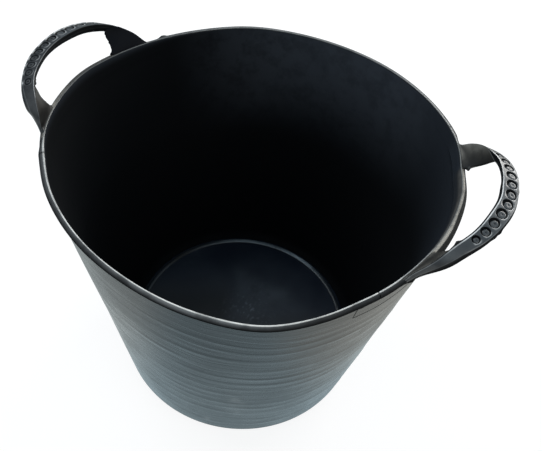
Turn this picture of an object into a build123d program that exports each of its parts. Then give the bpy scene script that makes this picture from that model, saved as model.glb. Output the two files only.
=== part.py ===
from build123d import *
import os
from math import atan, cos, radians, sin

# Flexible tub with two strap handles. Millimetres, Z up, handles on X,
# the origin at the centre of the face that the tub stands on.

# Tub body
mouth_radius = 190.0        # inside of the wall at the mean height of the rim
tub_height = 318.0          # ground to the mean height of the rim
base_radius = 143.0         # outside of the tub at the ground
wall_thickness = 3.0
rim_saddle = 6.0            # the rim is this much higher at the handles, lower between them

# Floor
foot_height = 4.0
foot_width = 12.0
foot_edge = 2.5             # rounding of the outer edge at the ground
floor_thickness = 4.0
cove_radius = 10.0
ring_gap = 3.0              # flat floor left between the ring and the cove
ring_width = 3.0
ring_height = 1.2

# Rim
bead_drop = 1.8             # the top of the bead is this far below the lip of the wall
bead_height = 5.0
bead_proud = 4.0            # how far the bead stands out from the wall
handle_rim_height = 10.0
handle_rim_proud = 4.6
handle_rim_angle = 34.0     # half angle of the thick rim at each handle

# Handle strap
strap_reach = 35.5          # from the inside of the rim to the middle of the strap
strap_rise = 29.0           # from the top of the rim to the middle of the strap
strap_width = 18.5
strap_thickness = 6.5
strap_tilt = 24.0           # slope of the held face, falling outwards
root_angle = 28.5           # half angle at which the strap meets the rim
root_width = 9.0
root_tilt = 62.0
grip_share = 0.64           # part of the half span that is the grip, the rest is root
web_thickness = 4.0
web_angle = 16.0            # half angle at which the finger opening ends

# Row of recesses in the held face
pit_count = 11
pit_pitch = 11.4
pit_radius = 5.0
pit_end_radius = 3.9
pit_depth = 2.2
pip_radius = 2.2
pip_height = 1.4


# Heights and radii that follow from the sizes above
wall_lean = (mouth_radius + wall_thickness - base_radius) / tub_height
floor_top = foot_height + floor_thickness
handle_rim_radius = mouth_radius + wall_thickness + handle_rim_proud
rim_middle = (mouth_radius + handle_rim_radius) / 2
root_y = rim_middle * sin(radians(root_angle))
root_x = rim_middle * cos(radians(root_angle))
strap_x = mouth_radius + strap_reach
big = 2 * tub_height


def outside(z):
    return base_radius + wall_lean * z


def inside(z):
    return outside(z) - wall_thickness


def rim_top(x, y):
    return tub_height + rim_saddle * (x * x - y * y) / mouth_radius ** 2


def revolved(points):
    outline = Polyline(*points, close=True)
    return revolve(Plane.XZ * make_face(outline), Axis.Z)


def below_rim(drop):
    # A block whose top is the saddle of the rim, lowered by drop: ruled between two slanted lines.
    half = handle_rim_radius * 1.5
    rise = 2 * rim_saddle * half * half / mouth_radius ** 2
    ends = []
    for side in (-1, 1):
        plane = Plane(origin=(side * half, 0, tub_height - drop), x_dir=(0, 1, 0), z_dir=(1, 0, 0))
        points = [(-half, -big), (half, -big), (half, -side * rise), (-half, side * rise)]
        ends.append(plane * make_face(Polyline(*points, close=True)))
    return Rot(0, 0, 45) * loft(ends, ruled=True)


def handle_sector():
    # Wedge over the rim of the right-hand handle.
    reach = 2 * handle_rim_radius
    side = reach * sin(radians(handle_rim_angle))
    front = reach * cos(radians(handle_rim_angle))
    wedge = make_face(Polyline((0, 0), (front, -side), (front, side), close=True))
    return extrude(wedge, big)


def cove_foot():
    # Centre of the cove: the arc touches both the floor and the leaning wall.
    centre_z = floor_top + cove_radius
    return inside(centre_z) - cove_radius / cos(atan(wall_lean)), centre_z


def tub_wall():
    # The shell with its cove, up to the lip.
    top = tub_height + 2 * rim_saddle
    lean = atan(wall_lean)
    half_turn = (radians(90) + lean) / 2
    x, z = cove_foot()
    high = (x + cove_radius * cos(lean), z - cove_radius * sin(lean))
    middle = (x + cove_radius * cos(half_turn), z - cove_radius * sin(half_turn))
    low = (x, floor_top)
    bottom = (inside(foot_height), foot_height)
    shell = Polyline(low, (inside(floor_top), floor_top), bottom, (outside(foot_height), foot_height))
    shell += Polyline((outside(foot_height), foot_height), (outside(top), top), (inside(top), top), high)
    shell += ThreePointArc(high, middle, low)
    return revolve(Plane.XZ * make_face(shell), Axis.Z) & below_rim(0)


def floor_panel():
    points = [(0, foot_height), (inside(foot_height), foot_height), (inside(floor_top), floor_top), (0, floor_top)]
    return revolved(points)


def floor_ring():
    outer = cove_foot()[0] - ring_gap
    inner = outer - ring_width
    high = floor_top + ring_height
    slope = ring_height / 2
    return revolved([(inner, floor_top), (outer, floor_top), (outer - slope, high), (inner + slope, high)])


def foot_ring():
    inner = base_radius - foot_width
    points = [
        (inner, 0),
        (outside(0) - foot_edge, 0),
        (outside(foot_edge), foot_edge),
        (outside(foot_height), foot_height),
        (inner, foot_height),
    ]
    return revolved(points)


def rim_band(proud, drop, height):
    # A band round the outside of the wall. Its top and underside follow the saddle.
    low = tub_height - drop - height - 2 * rim_saddle
    high = tub_height + 2 * rim_saddle
    radius = mouth_radius + wall_thickness + proud
    points = [(outside(low), low), (radius, low), (radius, high), (outside(high), high)]
    return (revolved(points) & below_rim(drop)) - below_rim(drop + height)


def strap_point(y):
    # Middle of the held face, at this distance from the handle's middle plane.
    share = y / root_y
    x = strap_x - (strap_x - root_x) * share ** 2
    crest = rim_top(mouth_radius, 0) + strap_rise
    foot = rim_top(root_x, root_y)
    return Vector(x, y, foot + (crest - foot) * (1 - share ** 4))


def strap_plane(y):
    # Section plane of the strap: x across the held face outwards, y out of the held face.
    step = 0.01
    along = (strap_point(y + step) - strap_point(y - step)).normalized()
    level = Vector(along.Y, -along.X, 0).normalized()
    up = level.cross(along)
    tilt = radians(strap_tilt + (root_tilt - strap_tilt) * abs(y / root_y) ** 4)
    across = level * cos(tilt) - up * sin(tilt)
    return Plane(origin=strap_point(y), x_dir=across, z_dir=along * -1)


def strap_section(y):
    share = min(abs(y / root_y), 1)
    width = root_width + (strap_width - root_width) * (1 - share ** 2)
    half = width / 2
    points = [(-half, 0), (half, 0), (half, -strap_thickness), (-half, -strap_thickness)]
    return strap_plane(y) * make_face(Polyline(*points, close=True))


def pit_stations():
    # Places along the strap, one pitch apart, counted from its middle.
    half_count = (pit_count - 1) / 2
    places = []
    for number in range(pit_count):
        target = abs(number - half_count) * pit_pitch
        y = 0.0
        walked = 0.0
        while walked < target:
            walked += (strap_point(y + 0.25) - strap_point(y)).length
            y += 0.25
        share = abs(number - half_count) / half_count
        radius = pit_radius - (pit_radius - pit_end_radius) * share ** 2
        places.append((y if number > half_count else -y, radius))
    return places


def handle_grip():
    end = grip_share * root_y
    steps = 8
    sections = [strap_section(end * (2 * number / steps - 1)) for number in range(steps + 1)]
    grip = loft(sections)
    for y, radius in pit_stations():
        plane = strap_plane(y)
        face = Plane(origin=plane.origin, x_dir=plane.x_dir, z_dir=plane.y_dir)
        pit = face.offset(-pit_depth) * Cylinder(radius, 2 * pit_depth, align=(Align.CENTER, Align.CENTER, Align.MIN))
        pip = face.offset(-pit_depth) * Cylinder(pip_radius, pip_height, align=(Align.CENTER, Align.CENTER, Align.MIN))
        grip = grip - pit + pip
    return grip


def web_section(angle, y):
    # Section of the web from the rim, at this angle, up to the middle of the strap's thickness.
    outwards = Vector(cos(angle), sin(angle), 0)
    bottom = outwards * rim_middle + Vector(0, 0, tub_height - rim_saddle)
    strap = strap_plane(y)
    top = strap.origin - strap.y_dir * (strap_thickness / 2) - bottom
    plane = Plane(origin=bottom, x_dir=outwards, z_dir=outwards.cross(top))
    shift = top.dot(plane.x_dir)
    height = top.dot(plane.y_dir)
    half = web_thickness / 2
    points = [(-half, 0), (half, 0), (shift + half, height), (shift - half, height)]
    return plane * make_face(Polyline(*points, close=True))


def handle_root():
    # Strap end and web on the +Y side, cut back to the rim they grow from.
    start = grip_share * root_y
    sections = [strap_section(start + (root_y * 1.06 - start) * number / 4) for number in range(5)]
    strap = loft(sections)
    open_edge = web_section(radians(web_angle), start + web_thickness)
    closed_edge = web_section(radians(root_angle - 2), root_y * 0.95)
    web = loft([open_edge, closed_edge], ruled=True)
    plug = Cylinder(handle_rim_radius, big, align=(Align.CENTER, Align.CENTER, Align.MIN)) & below_rim(0)
    return strap + web - plug


def save(shape, name):
    shape.label = name
    export_step(shape, f"parts/{name}.step")


os.makedirs("parts", exist_ok=True)

save(tub_wall(), "tub_wall")
save(floor_panel(), "floor_panel")
save(floor_ring(), "floor_ring")
save(foot_ring(), "foot_ring")

bead = rim_band(bead_proud, bead_drop, bead_height)
right_sector = handle_sector()
left_sector = right_sector.mirror(Plane.YZ)
between = bead - right_sector - left_sector
front_half = Pos(0, -big / 2, big / 2) * Box(big, big, big)
save(between & front_half, "rim_bead_front")
save(between - front_half, "rim_bead_back")

right_rim = rim_band(handle_rim_proud, 0, handle_rim_height) & right_sector
save(right_rim, "right_handle_rim")
save(right_rim.mirror(Plane.YZ), "left_handle_rim")

grip = handle_grip()
save(grip, "right_handle_grip")
save(grip.mirror(Plane.YZ), "left_handle_grip")

root = handle_root()
save(root, "right_handle_root_back")
save(root.mirror(Plane.XZ), "right_handle_root_front")
save(root.mirror(Plane.YZ), "left_handle_root_back")
save(root.mirror(Plane.XZ).mirror(Plane.YZ), "left_handle_root_front")
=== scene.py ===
from collections import namedtuple
from math import atan, atan2, cos, degrees, exp, hypot, pi, radians, sin

import bmesh
import bpy
import numpy as np
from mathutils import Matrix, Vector, noise


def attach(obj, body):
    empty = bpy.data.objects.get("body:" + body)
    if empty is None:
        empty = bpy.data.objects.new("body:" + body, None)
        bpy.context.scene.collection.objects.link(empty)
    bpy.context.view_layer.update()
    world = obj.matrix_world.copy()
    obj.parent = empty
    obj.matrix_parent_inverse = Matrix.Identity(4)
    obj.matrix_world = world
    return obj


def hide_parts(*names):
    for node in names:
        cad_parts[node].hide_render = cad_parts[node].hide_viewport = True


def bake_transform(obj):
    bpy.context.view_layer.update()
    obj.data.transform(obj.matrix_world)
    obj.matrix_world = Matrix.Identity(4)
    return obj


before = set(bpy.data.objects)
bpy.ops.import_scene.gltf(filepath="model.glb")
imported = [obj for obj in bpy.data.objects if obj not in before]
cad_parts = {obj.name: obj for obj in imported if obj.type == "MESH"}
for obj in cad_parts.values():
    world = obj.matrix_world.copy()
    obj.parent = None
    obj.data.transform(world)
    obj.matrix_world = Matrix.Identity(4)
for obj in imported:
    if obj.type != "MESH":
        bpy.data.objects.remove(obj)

scene = bpy.context.scene
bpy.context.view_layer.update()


# Tub wall: the tapered side with its lip and the cove at its foot, one thin shell of soft
# black polyethylene. It is injection moulded, and the turned steel of the mould left fine
# uneven rings outside. Two inserts that form the handles leave their outlines on it.
tub_height = 318.0  # millimetres here and below, as the tub is drawn
mouth_radius = 190.0
base_radius = 143.0
wall_thickness = 3.0
wall_lean = (mouth_radius + wall_thickness - base_radius) / tub_height
rim_saddle = 6.0  # the rim is this much higher at the handles, lower between them
foot_height = 4.0
floor_top = 8.0
cove_radius = 10.0
left_middle = 178.2  # degrees round the rim: the left handle sits a little askew
rim_ends = (-36.0, 35.7, 145.0, 211.0)  # where the rims of the handles end, in degrees
mouth_waves = [  # the mouth out of round: waves round it, share of the radius by cosine and sine
    (2, -0.0019, 0.0156), (3, -0.0077, -0.0117), (4, -0.0009, 0.0135)]
waves_from = -2.0  # degrees round the rim
mouth_dents = [  # where it stands out or in: degrees round the rim, millimetres, width in degrees
    (-146, -1.5, 7), (-117, 1.7, 15), (-65.5, 2.5, 10), (-42, -1.1, 7), (-12, 0.9, 9),
    (18, -2.3, 7), (68, 1.8, 17), (116, 1.7, 11), (178, 1.5, 8)]
dents_from = 0.4  # share of the height where the dents begin
lip_plain = 2.3  # width of the lip at the back, and where a handle grows out of it
lip_at_handle = 1.35
lip_swells = [(-73, 0.38, 17), (-115, -0.35, 14)]  # degrees round the rim, millimetres, width in degrees
lip_drop = 1.0  # the rounding of the lip ends this far below its top
nick_width = 0.14  # half the nick in the lip where a handle's rim ends, in degrees
ridge_heights = [24, 43, 65, 85, 100, 114, 128, 148, 163, 180, 203, 229, 249, 265, 278]
ridge_rise = 0.30  # the turned rings are low ridges, stronger in some places than in others
ridge_width = 3.2
sway_depth = 0.7  # slow waves of the soft wall
insert_reach = 41.6  # outline of an insert outside: degrees from the handle's middle, and heights
insert_low = 291.0
insert_high = 309.0
thick_low = 307.0  # lower edge of the thicker wall behind a handle, inside
around_steps = 240  # of the mesh, once round the tub
outer_steps = 150  # rows of the mesh up the outside
brown_rows = 7  # rows below the lip that are rubbed brown behind the right handle
brown_reach = 18  # degrees to either side of the handle's middle
outside_finish, inside_finish, line_finish, brown_finish = range(4)
wall_black = (0.0050, 0.0062, 0.0072, 1)
wall_dusty = (0.034, 0.037, 0.038, 1)
inside_black = (0.0205, 0.0240, 0.0300, 1)
inside_dusty = (0.0270, 0.0310, 0.0370, 1)
# pale bluish painted sheen high on the back of the inside, which also colours rubs there
inside_sheen_and_rub = (0.40, 0.46, 0.56, 1)
brown_dusty = (0.0270, 0.0300, 0.0340, 1)
rubbed_beige = (0.53, 0.475, 0.405, 1)
# pale colour of rubs on the wall, and of the lip with its painted highlight
rubbed_lip_and_highlight = (0.88, 0.85, 0.80, 1)
line_black = (0.008, 0.008, 0.009, 1)
line_dusty = (0.02, 0.02, 0.02, 1)
# colour of painted shade and of grime
shade_and_grime_black = (0.0009, 0.0012, 0.0016, 1)
skin_relief = 0.06  # depth of the moulded skin where there are no rings


def smooth(value, low, high):
    # Rises smoothly from 0 at low to 1 at high.
    t = min(max((value - low) / (high - low), 0), 1)
    return t * t * (3 - 2 * t)


def span(value, first, full, last, none):
    # Rises from first to full, stays at 1, and falls from last to none.
    return smooth(value, first, full) * smooth(value, none, last)


def bump(value, middle, width):
    # 1 at the middle, falling away smoothly on both sides.
    return exp(-((value - middle) / width) ** 2)


def uneven(x, y, z):
    return noise.noise(Vector((x, y, z)))


def apart(turn, place):
    # Degrees from a place on the rim, between -180 and 180.
    return (turn - place + 180) % 360 - 180


def outside(z):
    return base_radius + wall_lean * z


def inside(z):
    return outside(z) - wall_thickness


def rim_top(angle):
    return tub_height + rim_saddle * cos(2 * angle)


def settle(point):
    # The soft mouth stands a little out of round. The firm base doesn't.
    x, y, z = point
    turn = degrees(atan2(y, x))
    high = min(max(z / tub_height, 0), 1)
    out = 0.0
    for count, by_cosine, by_sine in mouth_waves:
        wave = count * radians(turn - waves_from)
        out += by_cosine * cos(wave) + by_sine * sin(wave)
    grow = 1 + out * high ** 1.5
    if high > dents_from:
        dent = sum(far * bump(apart(turn, at), 0, width) for at, far, width in mouth_dents)
        grow += dent / mouth_radius * ((high - dents_from) / (1 - dents_from)) ** 2
    return Vector((x * grow, y * grow, z))


def grid_faces(rows, columns, wrap):
    # Faces of a grid of points that are stored row by row.
    faces = []
    for row in range(rows - 1):
        start = row * columns
        for column in range(columns if wrap else columns - 1):
            a = start + column
            b = start + (column + 1) % columns
            faces.append((a, b, b + columns, a + columns))
    return faces


class Shape:
    # The mesh of a piece while it is made. A point has wear and highlight, 0 to 1, for the rubbed edges and
    # for painted highlights, and shade and grime, 0 to 1, for painted shade and dirt in deep places. A
    # finish is the number of a face's material.
    def __init__(self):
        self.points, self.wear, self.shade_and_grime = [], [], []
        self.faces, self.finishes = [], []

    def point(self, point, worn=0.0, darkened=0.0):
        self.points.append(point)
        self.wear.append(worn)
        self.shade_and_grime.append(darkened)

    def sheet(self, points, faces, wear, finish):
        # Adds a sheet whose faces count its own points from 0.
        start = len(self.points)
        self.faces += [tuple(k + start for k in face) for face in faces]
        self.finishes += [finish] * len(faces)
        for point, worn in zip(points, wear):
            self.point(point, worn)

    def place(self, point):
        return settle(point)

    def build(self, name, materials):
        mesh = bpy.data.meshes.new(name)
        places = [self.place(point) / 1000 for point in self.points]
        mesh.from_pydata(places, [], self.faces)
        mesh.shade_smooth()
        mesh.attributes.new("wear", "FLOAT", "POINT").data.foreach_set("value", self.wear)
        mesh.attributes.new("shade_and_grime", "FLOAT", "POINT").data.foreach_set("value", self.shade_and_grime)
        rest = mesh.attributes.new("rest", "FLOAT_VECTOR", "POINT")
        rest.data.foreach_set("vector", [c for place in places for c in place])
        for material in materials:
            mesh.materials.append(material)
        mesh.polygons.foreach_set("material_index", self.finishes)
        piece = bpy.data.objects.new(name, mesh)
        scene.collection.objects.link(piece)
        return piece


def put(tree, kind, sockets, **settings):
    # Adds a node. A socket's value is a plain value, or an output to link from.
    made = tree.nodes.new("ShaderNode" + kind)
    for key, value in settings.items():
        setattr(made, key, value)
    for key, value in sockets.items():
        if isinstance(value, bpy.types.NodeSocket):
            tree.links.new(value, made.inputs[key])
        else:
            made.inputs[key].default_value = value
    return made.outputs


def reckon(tree, operation, *values):
    return put(tree, "Math", dict(enumerate(values)), operation=operation)[0]


def scaled(tree, value, factor, more=0.0):
    # The value times the factor, and more added.
    return reckon(tree, "MULTIPLY_ADD", value, factor, more)


def reckon_vector(tree, operation, sockets):
    return put(tree, "VectorMath", sockets, operation=operation)[0]


def mix_colours(tree, share, first, second):
    return put(tree, "Mix", {0: share, 6: first, 7: second}, data_type="RGBA")[2]


def ramp(tree, value, low, high):
    sockets = {"Value": value, "From Min": low, "From Max": high}
    return put(tree, "MapRange", sockets, interpolation_type="SMOOTHSTEP")[0]


def speckle(tree, vector, scale, detail, roughness=0.5):
    sockets = {"Vector": vector, "Scale": scale, "Detail": detail, "Roughness": roughness}
    return put(tree, "TexNoise", sockets)[0]


def new_group(name, inputs, outputs):
    group = bpy.data.node_groups.new(name, "ShaderNodeTree")
    for label, kind, value in inputs:
        socket = group.interface.new_socket(label, in_out="INPUT", socket_type="NodeSocket" + kind)
        if value is not None:
            socket.default_value = value
    for label, kind in outputs:
        group.interface.new_socket(label, in_out="OUTPUT", socket_type="NodeSocket" + kind)
    return group, group.nodes.new("NodeGroupInput").outputs, group.nodes.new("NodeGroupOutput").inputs


def turned_rings():
    # Uneven rings round the tub: noise drawn out along the circle and packed along the height.
    group, given, result = new_group(
        "turned rings",
        [("Vector", "Vector", None), ("Rings", "Float", 150.0), ("Around", "Float", 0.9)],
        [("Height", "Float"), ("Line", "Float")])
    axes = put(group, "SeparateXYZ", {0: given["Vector"]})
    flat = put(group, "CombineXYZ", {0: axes[0], 1: axes[1]})[0]
    ring = reckon_vector(group, "NORMALIZE", {0: flat})
    sway = reckon_vector(group, "SCALE", {0: ring, "Scale": 2.2})
    height = scaled(group, speckle(group, sway, 1.0, 2.0), 0.016, axes[2])
    layers = []
    for packing, spread in ((1.0, 1.0), (3.1, 2.6)):
        level = scaled(group, scaled(group, height, given["Rings"]), packing)
        wide = scaled(group, given["Around"], spread)
        circle = reckon_vector(group, "SCALE", {0: ring, "Scale": wide})
        lift = put(group, "CombineXYZ", {2: level})[0]
        place = reckon_vector(group, "ADD", {0: circle, 1: lift})
        layers.append(speckle(group, place, 1.0, 2.0))
    both = scaled(group, layers[1], 0.35, scaled(group, layers[0], 0.65))
    group.links.new(both, result["Height"])
    group.links.new(ramp(group, layers[0], 0.44, 0.28), result["Line"])
    return group


def moulded_grain():
    # Fine skin of moulded plastic, and slow patches of duller and shinier surface.
    group, given, result = new_group(
        "moulded grain", [("Vector", "Vector", None), ("Size", "Float", 900.0)],
        [("Height", "Float"), ("Patch", "Float")])
    group.links.new(speckle(group, given["Vector"], given["Size"], 3.0), result["Height"])
    patch = speckle(group, given["Vector"], 17.0, 4.0, 0.6)
    group.links.new(ramp(group, patch, 0.3, 0.7), result["Patch"])
    return group


def rubbed_edges():
    # Edges that hands and stacking have rubbed pale, and painted highlights, by one mask. The line breaks up
    # along its length.
    group, given, result = new_group(
        "rubbed edges",
        [("Vector", "Vector", None), ("Wear", "Float", 0.0), ("Colour", "Color", None),
         ("Rubbed", "Color", None)],
        [("Colour", "Color")])
    broken = speckle(group, given["Vector"], 55.0, 5.0, 0.65)
    kept = scaled(group, ramp(group, broken, 0.32, 0.58), 0.52, 0.48)
    mask = scaled(group, given["Wear"], kept)
    group.links.new(mix_colours(group, mask, given["Colour"], given["Rubbed"]), result["Colour"])
    return group


def scuffs_and_dust():
    # Pale rubs that run down the wall, and specks of dried dirt.
    group, given, result = new_group(
        "scuffs and dust", [("Vector", "Vector", None), ("Amount", "Float", 0.5)], [("Mask", "Float")])
    drawn = reckon_vector(group, "MULTIPLY", {0: given["Vector"], 1: (1, 1, 0.28)})
    rub = speckle(group, drawn, 42.0, 6.0, 0.7)
    where = speckle(group, given["Vector"], 9.0, 2.0)
    rubs = scaled(group, ramp(group, rub, 0.52, 0.75), ramp(group, where, 0.5, 0.68))
    speck = speckle(group, given["Vector"], 260.0, 2.0)
    specks = scaled(group, ramp(group, speck, 0.68, 0.76), 0.6)
    both = reckon(group, "MAXIMUM", rubs, specks)
    group.links.new(scaled(group, both, given["Amount"]), result["Mask"])
    return group


rings_group = turned_rings()
grain_group = moulded_grain()
rubbed_group = rubbed_edges()
scuffs_group = scuffs_and_dust()


def plastic(name, dark, dusty, rubbed, rough, shine, scuffed, rings=0.0, grain=0.25):
    # One finish of the moulded polyethylene. Rings is the depth of the turned rings, in millimetres.
    # Patches, rings, painted shade with grime, and scuffs each shift the colour and the roughness a little;
    # the rubbed colour also paints highlights.
    material = bpy.data.materials.new(name)
    material.use_nodes = True
    tree = material.node_tree
    surface = tree.nodes["Principled BSDF"]
    rest = put(tree, "Attribute", {}, attribute_name="rest")["Vector"]
    wear = put(tree, "Attribute", {}, attribute_name="wear")["Fac"]
    shade_and_grime = put(tree, "Attribute", {}, attribute_name="shade_and_grime")["Fac"]
    skin = put(tree, "Group", {"Vector": rest}, node_tree=grain_group)
    scuff = put(tree, "Group", {"Vector": rest, "Amount": scuffed}, node_tree=scuffs_group)["Mask"]
    colour = mix_colours(tree, scaled(tree, skin["Patch"], 0.35), dark, dusty)
    colour = mix_colours(tree, scuff, colour, dusty)
    height = scaled(tree, skin["Height"], grain)
    roughness = scaled(tree, skin["Patch"], 0.10, rough - 0.05)
    if rings:
        turned = put(tree, "Group", {"Vector": rest}, node_tree=rings_group)
        height = reckon(tree, "ADD", turned["Height"], height)
        colour = mix_colours(tree, scaled(tree, turned["Line"], 0.8), colour, dark)
        roughness = scaled(tree, turned["Line"], -0.06, roughness)
    colour = mix_colours(tree, shade_and_grime, colour, shade_and_grime_black)
    roughness = scaled(tree, shade_and_grime, 0.3, roughness)
    roughness = scaled(tree, scuff, 0.15, roughness)
    edges = {"Vector": rest, "Wear": wear, "Colour": colour, "Rubbed": rubbed}
    colour = put(tree, "Group", edges, node_tree=rubbed_group)["Colour"]
    relief = {"Height": height, "Strength": 1.0, "Distance": (rings or skin_relief) / 1000}
    tree.links.new(colour, surface.inputs["Base Color"])
    tree.links.new(roughness, surface.inputs["Roughness"])
    tree.links.new(put(tree, "Bump", relief)[0], surface.inputs["Normal"])
    surface.inputs["Specular IOR Level"].default_value = shine
    surface.inputs["IOR"].default_value = 1.5
    return material


def from_handle(angle):
    # Degrees from the middle of the nearer handle.
    return min(abs(apart(degrees(angle), middle)) for middle in (0, left_middle))


def nick_depth(angle):
    # A nick in the lip where a handle's rim ends, deeper at the front.
    if min(abs(apart(degrees(angle), end)) for end in rim_ends) > nick_width:
        return 0.0
    return 0.8 if angle < 0 else 0.3


def lip_width(angle):
    # The lip is narrower in front, and narrow where the handles grow out of it.
    turn = apart(degrees(angle), 0)
    width = lip_plain - 0.95 * max(0, -sin(angle)) - (0.45 if cos(angle) > 0 else 0.1) * cos(angle)
    width += sum(more * bump(turn, at, reach) for at, more, reach in lip_swells)
    return width + (lip_at_handle - width) * smooth(from_handle(angle), 31, 27.5)


def wall_sway(angle, z):
    # Slow waves that a soft wall has, none at the rim and the base.
    wave = uneven(2.1 * cos(angle), 2.1 * sin(angle), z / 95)
    return sway_depth * wave * max(0, sin(pi * z / tub_height))


def ridges(angle):
    # Height and rise of each turned ring at this angle. A ring fades out and comes back.
    c, s = cos(angle), sin(angle)
    found = []
    for k, z in enumerate(ridge_heights):
        drift = 2.6 * uneven(1.7 * c, 1.7 * s, 7.3 * k)
        strength = 0.55 + 1.5 * uneven(2.9 * c + 4, 2.9 * s, 5.1 * k)
        strength = min(max(strength, 0.08), 1.15) * (0.3 + 0.7 * smooth(c, -0.55, 0.1))
        found.append((z + drift, ridge_rise * strength))
    return found


def rubs(turn, z):
    # Two places low on the front where something has rubbed the wall, one a smear and one a spot.
    patchy = 0.5 + 0.9 * uneven(turn / 1.6, z / 26, 4) + 0.7 * uneven(turn / 0.7, z / 6, 9)
    smear = 0.10 * span(z, 40, 95, 105, 160) * bump(turn, -70, 3.4)
    spot = 0.16 * bump(z, 26, 7) * bump(turn, -81, 2.2)
    return (smear + spot) * min(max(patchy, 0), 1.2)


def outer_rows(angle):
    # From the foot up the outside: radius, height and wear.
    rings = ridges(angle)
    rows = []
    for z in np.linspace(foot_height, rim_top(angle) - 2.2, outer_steps):
        ridge = sum(rise * bump(z, at, ridge_width) for at, rise in rings)
        rows.append((outside(z) + wall_sway(angle, z) + ridge, z, rubs(degrees(angle), z)))
    return rows


def lip_rows(angle):
    # Over the lip, rubbed pale, with a painted highlight that makes it palest in front.
    top = rim_top(angle) - nick_depth(angle)
    near = from_handle(angle)
    lip = lip_width(angle)
    pale = 1 - 0.78 * smooth(sin(angle), 0.1, 0.6)
    pale *= 1 - 0.4 * smooth(-cos(angle), 0.5, 0.82)
    pale *= 0 if nick_depth(angle) else 1 - 0.4 * smooth(near, 29, 27) - 0.35 * smooth(near, 18, 14)
    edge = [  # out from the inner edge, below the top, wear and painted highlight
        (lip + 0.5, lip_drop, 0), (lip + 0.1, 0.5, 0.25 * pale), (lip - 0.2, 0.12, pale),
        (lip / 2, 0, pale), (0.4, 0.06, pale), (0.1, 0.35, 0.15 * pale)]
    return [(inside(rim_top(angle)) + out, top - drop, worn) for out, drop, worn in edge]


def inner_rows(angle):
    # Down the inside: the thicker wall behind a handle, the plain wall, and the cove to the floor.
    top = rim_top(angle)
    low = top - lip_drop - nick_depth(angle)
    near = from_handle(angle)
    right = cos(angle) > 0
    behind = smooth(near, 30.5, 28) * (1 if right else 0.25)
    browned = 0.35 * behind * max(0, cos(angle))
    open_rim = 0.2 * smooth(near, 19, 15) if right else 0
    # Painted sheen: a pale bluish colour high on the back of the inside.
    painted_sheen = 0.06 * smooth(sin(angle), 0.55, 0.97)
    rows = [(inside(low), low, open_rim)]
    for z in np.linspace(low, thick_low + 0.7, brown_rows + 1)[1:]:
        rubbed = open_rim * smooth(z, top - 10, top - lip_drop)
        rows.append((inside(z) - 0.55 * behind, z, painted_sheen + 0.04 * browned + rubbed))
    rows.append((inside(thick_low + 0.2) - 0.45 * behind, thick_low + 0.2, painted_sheen + browned))
    rows.append((inside(thick_low - 0.4), thick_low - 0.4, painted_sheen))
    lean = atan(wall_lean)
    cove_z = floor_top + cove_radius
    cove_r = inside(cove_z) - cove_radius / cos(lean)
    for z in np.linspace(thick_low - 0.4, cove_z - cove_radius * sin(lean), 48)[1:]:
        rows.append((inside(z) + wall_sway(angle, z), z, painted_sheen * smooth(z, 170, 305)))
    for t in np.linspace(lean, pi / 2, 9)[1:]:
        rows.append((cove_r + cove_radius * cos(t), cove_z - cove_radius * sin(t), 0))
    return rows


def inside_shade(angle, z):
    # Painted shade: the inside darkens downwards, and on the left from the lip down.
    dark_from = 190 - 20 * smooth(sin(angle), 0.4, 0.9)
    left = 0.95 * smooth(cos(angle), 0.1, -0.7) * smooth(z, 325, 314)
    return max(0.97 * smooth(z, 316, dark_from), left)


def wall_angles():
    # Even steps round the tub, closer together at the nicks beside the handles.
    angles = [radians(360 * k / around_steps - 180) for k in range(around_steps)]
    for end in rim_ends:
        middle = apart(end, 0)
        angles = [a for a in angles if abs(degrees(a) - middle) > 0.5]
        angles += [radians(middle + shift) for shift in (-0.22, -0.11, 0.11, 0.22)]
    return sorted(angles)


def witness_line(path):
    # Thin raised line that a joint in the mould leaves. Path is a list of angles and heights.
    points = []
    for k, (angle, z) in enumerate(path):
        before, after = path[max(k - 1, 0)], path[min(k + 1, len(path) - 1)]
        run = outside(z) * (after[0] - before[0])
        rise = after[1] - before[1]
        length = hypot(run, rise)
        for aside, lift in ((-0.55, -0.3), (-0.25, 0.16), (0.25, 0.16), (0.55, -0.3)):
            a = angle - aside * rise / length / outside(z)
            h = z + aside * run / length
            r = outside(h) + lift + wall_sway(a, h)
            points.append((r * cos(a), r * sin(a), h))
    return points, grid_faces(len(path), 4, False), [0.0] * len(points)


def insert_outline(middle):
    # The lower edge of an insert and its two upright edges.
    level = [(radians(middle + a), insert_low) for a in np.linspace(-insert_reach, insert_reach, 57)]
    heights = np.linspace(insert_low, insert_high, 9)
    return [level] + [[(radians(middle + side * insert_reach), z) for z in heights] for side in (-1, 1)]


wall_finishes = [
    plastic("wall_outside", wall_black, wall_dusty, rubbed_lip_and_highlight,
            rough=0.26, shine=0.5, scuffed=0.5, rings=0.42, grain=0.16),
    plastic("wall_inside", inside_black, inside_dusty, inside_sheen_and_rub,
            rough=0.55, shine=0.1, scuffed=0.2, rings=0.16, grain=0.2),
    plastic("wall_line", line_black, line_dusty, rubbed_lip_and_highlight, rough=0.6, shine=0.2, scuffed=0.2),
    plastic("wall_inside_rubbed", inside_black, brown_dusty, rubbed_beige,
            rough=0.55, shine=0.1, scuffed=0.2)]
angles = wall_angles()
sections = [outer_rows(angle) + lip_rows(angle) + inner_rows(angle) for angle in angles]
first_inside = outer_steps + len(lip_rows(0))
wall = Shape()
for row in range(len(sections[0])):
    for angle, section in zip(angles, sections):
        r, z, worn = section[row]
        darkened = inside_shade(angle, z) if row > first_inside else 0.0
        wall.point((r * cos(angle), r * sin(angle), z), worn, darkened)
wall.faces = grid_faces(len(sections[0]), len(angles), True)
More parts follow.
